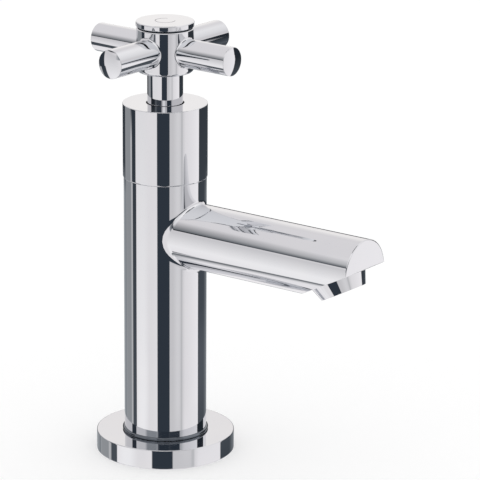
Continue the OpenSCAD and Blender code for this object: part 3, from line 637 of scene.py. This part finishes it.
def crossBar(number):
    # a round bar along +X from the hub's wall to a shallow dome: point = (x, radius cos, radius sin),
    # then turned to its place
    c = bar
    cosA, sinA = np.cos(fullTurn(c["steps"])), np.sin(fullTurn(c["steps"]))
    wallR = hub["r"] + c["seat"]
    ball = np.full(cosA.shape, c["rootBall"])
    root, rootOut = rollingBlend(wallR, c["r"], 0, ball, cosA, sinA, c["rootSteps"])
    out = rootOut[-1]
    domeR = (c["r"] ** 2 + c["dome"] ** 2) / (2 * c["dome"])
    domeX = c["reach"] - domeR
    innerR = c["r"] - c["edge"]
    edgeX = domeX + math.sqrt((domeR - c["edge"]) ** 2 - innerR ** 2)
    lean = math.atan2(innerR, edgeX - domeX)
    edgeA = np.linspace(math.pi / 2, lean, c["edgeSteps"] + 1)
    domeA = np.linspace(lean, 0, c["domeSteps"] + 1)[1:]
    profileX = np.concatenate([edgeX + c["edge"] * np.cos(edgeA), domeX + domeR * np.cos(domeA)])
    profileR = np.concatenate([innerR + c["edge"] * np.sin(edgeA), domeR * np.sin(domeA)])
    profileR[-1] = 0
    slope = np.concatenate([edgeA, domeA])
    side = bridge(root[-1], out * c["r"] + np.array([edgeX, 0, 0]), 2)
    end = np.stack([profileX[:, None] + 0 * cosA, np.outer(profileR, cosA), np.outer(profileR, sinA)], -1)
    endOut = np.stack([np.cos(slope)[:, None] + 0 * cosA, np.outer(np.sin(slope), cosA),
                       np.outer(np.sin(slope), sinA)], -1)
    # seat on the hub, straight on the unrolled hub from the blend in to the stud's hole
    innerY = c["studR"] * cosA
    inner = np.stack([np.sqrt(wallR ** 2 - innerY ** 2), innerY, c["studR"] * sinA], -1)
    seatA = bridge(np.arctan2(root[0, :, 1], root[0, :, 0])[:, None],
                   np.arctan2(inner[:, 1], inner[:, 0])[:, None], c["seatSteps"])[..., 0]
    seatZ = bridge(root[0, :, 2:], inner[:, 2:], c["seatSteps"])[..., 0]
    seat = np.stack([wallR * np.cos(seatA), wallR * np.sin(seatA), seatZ], -1)
    hole = bridge(inner, out * c["studR"] + np.array([c["studEnd"], 0, 0]), 2)
    holeEnd = bridge(hole[-1], np.broadcast_to(np.array([c["studEnd"], 0, 0]), out.shape), 2)
    patches = [(side, np.broadcast_to(out, side.shape)), (end, endOut), (root, rootOut),
               (seat, -unit(seat * np.array([1.0, 1.0, 0]))),
               (hole, np.broadcast_to(-out, hole.shape)), (holeEnd, spread([-1.0, 0, 0], holeEnd))]
    turn = Matrix.Rotation(math.radians(c["turn"] + 90 * number), 3, "Z")
    return moved(patches, turn, np.array([0, 0, c["z"]]))


for number, place in enumerate(("Front", "Left", "Back", "Right")):
    makePiece("crossBar" + place, crossBar(number), "handle", materials["chrome_plate"],
              ["bar_" + place.lower()])

# the groove colour and its rise paint shade into the groove under the cap's edge
cap = {"r": 11.15, "low": 169.45, "high": 171.45, "edge": 0.4, "lowEdge": 0.25, "grooveR": 10.15,
       "grooveShadeHex": "#3a4149", "grooveShadeRise": (0.02, 0.06), "plugR": 7.95, "plugH": 2.6, "plugEdge": 0.2,
       "markR": 3.75, "markW": 0.3, "markDeep": 0.06, "markGap": 37.0, "markTurn": 74.0, "markEndDeg": 4,
       "markFade": 0.15, "markColour": "#a2a0a6", "markRough": 0.3, "markSteps": 12,
       "inRings": (0, 1.2, 2.4), "outRings": (5, 7, 9)}


def hubCap():
    # the turned outline without its top, and a top where height = cap's height - dip along an open circle
    c = cap
    plugZ = hub["high"]
    outline = [(0, plugZ - c["plugH"], 0), (c["plugR"], plugZ - c["plugH"], c["plugEdge"]),
               (c["plugR"], plugZ, 0), (c["grooveR"], plugZ, 0), (c["grooveR"], c["low"], 0),
               (c["r"], c["low"], c["lowEdge"]),
               (c["r"], c["high"], c["edge"]), (0, c["high"], 0)]
    kept = [run for run in outlineRuns(outline)[:-1] if not np.allclose(run[0][:, 1], c["high"], 0, 1e-6)]
    steps = turnSteps * 2           # finer, for the mark
    markIn, markOut = c["markR"] - c["markW"], c["markR"] + c["markW"]
    radii = np.concatenate([c["inRings"], np.linspace(markIn, markOut, c["markSteps"] + 1), c["outRings"],
                            [c["r"] - c["edge"]]])[:, None]
    angle = fullTurn(steps)
    fromGap = np.abs((np.degrees(angle) - c["markTurn"] + 180) % 360 - 180)
    lengthwise = np.clip((fromGap - c["markGap"]) / c["markEndDeg"], 0, 1)
    acrossMark = np.clip(1 - np.abs(radii - c["markR"]) / c["markW"], 0, 1)
    dip = c["markDeep"] * np.sin(acrossMark * math.pi / 2) ** 2 * lengthwise
    top = np.stack([radii * np.cos(angle), radii * np.sin(angle), c["high"] - dip], -1)
    upwards = np.array([0, 0, 1.0])
    normals = gridNormals(top, upwards)
    normals[0] = normals[-1] = upwards
    return spun(kept, steps) + [(top, normals)]


# the cap's chrome carries the etched mark and painted shade in its groove
makePiece("hubCap", hubCap(), "handle", chromePlate("etchedChromeWithGrooveShade", mark=cap), ["hub_cap"])
print("scene: handle made")


# Camera at the photograph's place, in metres

view = {"place": (0.7498, -0.9649, 0.4520), "target": (0.0232, 0.0172, 0.0847), "lensMm": 247.5,
        "sensorMm": 36.0, "far": 20, "roll": math.radians(0.34)}
cameraData = bpy.data.cameras.new("photoCamera")
cameraData.lens = view["lensMm"]
cameraData.sensor_width = view["sensorMm"]
cameraData.sensor_fit = "HORIZONTAL"
cameraData.clip_end = view["far"]
camera = addObject("photoCamera", cameraData)
aim = (Vector(view["target"]) - Vector(view["place"])).to_track_quat("-Z", "Y").to_matrix().to_4x4()
camera.matrix_world = Matrix.Translation(view["place"]) @ aim @ Matrix.Rotation(view["roll"], 4, "Z")
bpy.context.scene.camera = camera


# Studio: a white floor, an even world, and a round wall of panels and dark screens that only the
# polished metal sees. Its radius and the height of its middle are in metres. Azimuths are in degrees
# from the camera's side, anticlockwise seen from above, and elevations from the spout's level. A
# screen's row gives its azimuths and how softly they end, its elevations and how softly they end below
# and above, and its colours at its foot and at its top.

studio = {
    "wallR": 0.45, "wallZ": 0.09, "wallSteps": 96, "wallRows": 48, "facing": math.radians(36.5),
    "panel": ("#e4e2e5", "#c9c7ca"), "panelEl": (-22, 17), "ceiling": "#d5d3d6", "ceilingEl": (17, 50),
    "screens": [
        ((47, 140), 6, (-29, 14), (4, 4), ("#d9d7da", "#d9d7da")),
        ((76, 160), 50, (-29, 14), (4, 4), ("#e9e7ea", "#e9e7ea")),
        ((155, 205), 30, (4, 24), (3, 20), ("#dddadb", "#e7e5e5")),
        ((-60, -20), 26, (-70, 20), (6, 6), ("#dedcde", "#dcdadd")),
        ((-78, -52), 16, (-60, -27), (4, 4), ("#ebeaec", "#ebeaec")),
        ((-78, -52), 16, (-27, 14), (4, 3), ("#ebeaec", "#c6c5c8")),
        ((-10, 50), 14, (-70, 20), (6, 6), ("#c6c5c8", "#c0bfc2")),
        ((28, 44), 12, (-29, 8), (4, 3), ("#cfced1", "#cfced1")),
        ((44, 49), 2, (-60, 12), (4, 2), ("#b9b9bc", "#b9b9bc")),
        ((-20.5, 13), 1.5, (-80, 17), (3, 2), ("#2f363f", "#2c333c")),
        ((104, 226), 1.5, (-34, -22), (4, 3), ("#2c3239", "#5a5f66")),
        ((104, 226), 1.5, (-24, 3), (5, 2), ("#454b52", "#1d2228")),
        ((165, 222), 60, (-34, -14), (4, 2), ("#9a9fa4", "#9a9fa4")),
        ((101.6, 135), 1.2, (5, 14), (2, 1.5), ("#23282f", "#23282f")),
        ((103, 135), 1.2, (1, 6), (2, 1.5), ("#23282f", "#23282f")),
        ((-134, -105), 4, (-34, 6), (4, 2), ("#8b8e92", "#84878b")),
        ((-105, -99.8), 1.5, (-34, 9), (4, 2), ("#a8a9ac", "#bdbdc0")),
        ((-99.8, -85.2), 1.5, (-45, -8), (2, 2), ("#53595f", "#2c323a")),
        ((-105.5, -87.5), 1.5, (-9, 15), (2, 2), ("#2c323a", "#2c323a")),
        ((-150, -60), 10, (-53, -47), (6, 1.5), ("#a6a7aa", "#565b61")),
        ((-100, -42), 8, (19, 21.5), (1, 23), ("#4a4e54", "#5f6368")),
        ((-100, -68), 6, (18.6, 20.4), (0.8, 1.5), ("#20252b", "#20252b")),
        ((-60, 150), 30, (26, 66), (8, 8), ("#d2d2d5", "#f4f3f5")),
        ((12, 42), 4, (8, 25), (1, 3), ("#2c333c", "#2c333c")),
        ((-54, -20), 8, (8, 21), (1, 3), ("#93969b", "#2c333c")),
        ((-9, -3), 3, (19.3, 25), (1, 2), ("#ffffff", "#ffffff")),
        ((-200, 200), 1, (71, 90), (3, 1), ("#2a3037", "#2a3037"))]}


def wallMaterial():
    # painted panels and screens lit from behind; each screen is a soft-edged box of azimuth and elevation
    material = bpy.data.materials.new("studioWall")
    material.use_nodes = True
    tree = material.node_tree
    tree.nodes.clear()
    coords = addNode(tree, "TexCoord", out="Object")
    place = addNode(tree, "Mapping", {"Vector": coords, "Location": (0, 0, studio["wallZ"]),
                                      "Rotation": (0, 0, studio["facing"])}, vector_type="TEXTURE")
    right, back, high = addNode(tree, "SeparateXYZ", (place,), None)
    front = addNode(tree, "Math", (back, -1.0), operation="MULTIPLY")
    turn = addNode(tree, "Math", (right, front), operation="ARCTAN2")
    azimuth = addNode(tree, "Math", (turn,), operation="DEGREES")
    flat = addNode(tree, "CombineXYZ", (right, back))
    away = addNode(tree, "VectorMath", (flat,), 1, operation="LENGTH")
    climb = addNode(tree, "Math", (high, away), operation="ARCTAN2")
    elevation = addNode(tree, "Math", (climb,), operation="DEGREES")
    plate = linear(chrome["colours"][0])

    def asSeen(hexColour):
        # the colour that shows as hexColour in the chrome
        return [a / b for a, b in zip(linear(hexColour)[:3], plate)] + [1.0]

    lowest, highest = map(asSeen, studio["panel"])
    rise = addNode(tree, "MapRange", (elevation, *studio["panelEl"], 0.0, 1.0))
    colour = addNode(tree, "Mix", {0: rise, 6: lowest, 7: highest}, 2, data_type="RGBA")
    rise = addNode(tree, "MapRange", (elevation, *studio["ceilingEl"], 0.0, 1.0))
    colour = addNode(tree, "Mix", {0: rise, 6: colour, 7: asSeen(studio["ceiling"])}, 2, data_type="RGBA")
    for (start, end), soft, (low, high), (softLow, softHigh), seen in studio["screens"]:
        half = (end - start) / 2
        off = addNode(tree, "Math", (azimuth, (start + end) / 2), operation="SUBTRACT")
        off = addNode(tree, "Math", (off, 180.0, -180.0), operation="WRAP")
        off = addNode(tree, "Math", (off,), operation="ABSOLUTE")
        inAz = addNode(tree, "MapRange", (off, half - soft / 2, half + soft / 2, 1.0, 0.0))
        inLow = addNode(tree, "MapRange", (elevation, low - softLow / 2, low + softLow / 2, 0.0, 1.0))
        inHigh = addNode(tree, "MapRange", (elevation, high, high + softHigh, 1.0, 0.0))
        inEl = addNode(tree, "Math", (inLow, inHigh), operation="MULTIPLY")
        share = addNode(tree, "Math", (inEl, inAz), operation="MULTIPLY")
        rise = addNode(tree, "MapRange", (elevation, low, high, 0.0, 1.0))
        lowest, highest = map(asSeen, seen)
        painted = addNode(tree, "Mix", {0: rise, 6: lowest, 7: highest}, 2, data_type="RGBA")
        colour = addNode(tree, "Mix", {0: share, 6: colour, 7: painted}, 2, data_type="RGBA")
    glow = addNode(tree, "Emission", {"Color": colour, "Strength": 1.0})
    addNode(tree, "OutputMaterial", {"Surface": glow}, None)
    return material


def studioWall():
    # sphere: point = middle + radius (cos el cos az, cos el sin az, sin el)
    az = fullTurn(studio["wallSteps"])
    el = np.radians(np.linspace(-90, 90, studio["wallRows"] + 1))[:, None]
    out = np.stack([np.cos(el) * np.cos(az), np.cos(el) * np.sin(az), np.sin(el) + 0 * az], -1)
    mesh = bpy.data.meshes.new("studioWall")
    spots = out.reshape(-1, 3) * studio["wallR"] + np.array([0, 0, studio["wallZ"]])
    mesh.from_pydata(spots.tolist(), [], patchFaces(out, out).tolist())
    mesh.materials.append(wallMaterial())
    wall = addObject("studioWall", mesh)
    wall.visible_camera = False
    wall.visible_diffuse = False
    wall.visible_shadow = False
    wall.visible_transmission = False


studioWall()

# reach and drop in metres
floor = {"reach": 6.0, "drop": 0.05 * mm, "paper": ("#e6e6e6", "#e8e8e8"), "fibreMm": 3, "detail": 3.0,
         "rough": 0.9, "lift": 0.22}


def studioFloor():
    # matt paper, whose own light makes it white to the eye and leaves the shadow
    material, tree, shader, coords = newMaterial("paperFloor")
    fibreScale = 1 / (floor["fibreMm"] * mm)
    fibre = addNode(tree, "TexNoise", {"Vector": coords, "Scale": fibreScale, "Detail": floor["detail"]})
    first, second = map(linear, floor["paper"])
    rays = addNode(tree, "LightPath", out=None)
    seen = addNode(tree, "Math", (rays["Is Camera Ray"], rays["Is Glossy Ray"]), operation="MAXIMUM")
    seen = addNode(tree, "Math", (seen, rays["Is Transmission Ray"]), operation="MAXIMUM")
    feed(tree, shader, {
        "Base Color": addNode(tree, "Mix", {0: fibre, 6: first, 7: second}, 2, data_type="RGBA"),
        "Roughness": floor["rough"], "Specular IOR Level": 0.0, "Emission Color": (1, 1, 1, 1),
        "Emission Strength": addNode(tree, "Math", (seen, floor["lift"]), operation="MULTIPLY")})
    mesh = bpy.data.meshes.new("paperFloor")
    reach = floor["reach"]
    under = -floor["drop"]          # a hair under the flange, so that the two don't flicker
    mesh.from_pydata([(-reach, -reach, under), (reach, -reach, under), (reach, reach, under),
                      (-reach, reach, under)], [], [(0, 1, 2, 3)])
    mesh.materials.append(material)
    sheet = addObject("paperFloor", mesh)
    sheet.visible_glossy = False


studioFloor()

world = bpy.data.worlds.new("evenWorld")
world.use_nodes = True
background = world.node_tree.nodes["Background"]
background.inputs["Color"].default_value = (1, 1, 1, 1)
background.inputs["Strength"].default_value = 1.0
bpy.context.scene.world = world
bpy.context.scene.view_settings.view_transform = "Standard"
print("scene: studio made")
